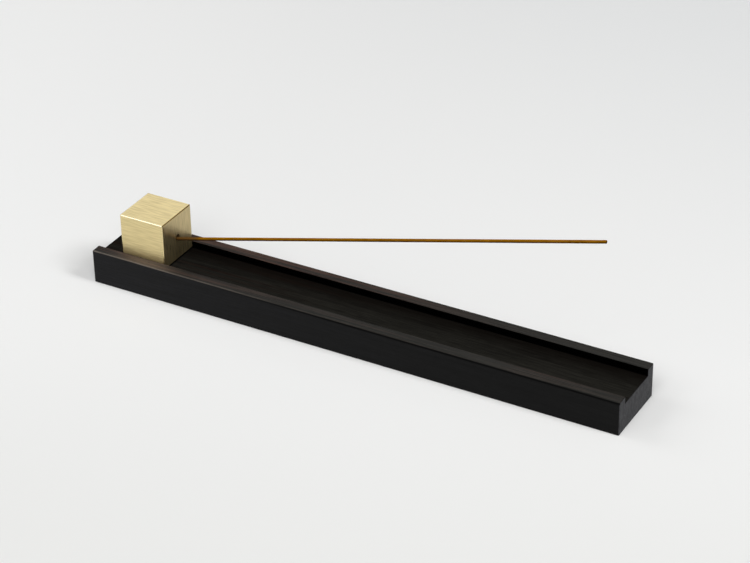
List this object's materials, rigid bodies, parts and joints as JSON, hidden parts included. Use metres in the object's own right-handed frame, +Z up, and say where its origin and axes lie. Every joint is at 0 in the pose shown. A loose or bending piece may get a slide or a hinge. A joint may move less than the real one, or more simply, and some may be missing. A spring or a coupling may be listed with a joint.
{
  "type": "incense burner",
  "caption": "Long dark wooden tray with an open-ended channel, and a sliding brass block whose slanted hole holds an incense stick above the channel.",
  "frame": {"origin": "centre of the tray's underside, on the surface that it stands on", "axes": "+X along the tray towards the stick's free end, +Y across the tray towards the back, +Z up"},
  "size_m": [0.29, 0.0376, 0.089],
  "materials": {
    "dark_wood": "fine-sanded, waxed ebony-like hardwood, nearly black with faint brown streaks along the grain",
    "brushed_brass": "solid brass, satin, brushed in one direction on each face",
    "incense_paste": "dry extruded wood-powder paste, matt golden brown"
  },
  "bodies": {
    "tray": {"tray": "dark_wood"},
    "block": {"holder_block": "brushed_brass"},
    "stick": {"incense_stick": "incense_paste"}
  },
  "joints": [
    {"name": "block_slide", "type": "slide", "parent": "tray", "child": "block", "axis": [1, 0, 0], "range_m": [-0.0142, 0.2504]},
    {"name": "stick_draw", "type": "slide", "parent": "block", "child": "stick", "axis": [0.9662, 0, 0.2578], "range_m": [0, 0.015]}
  ]
}
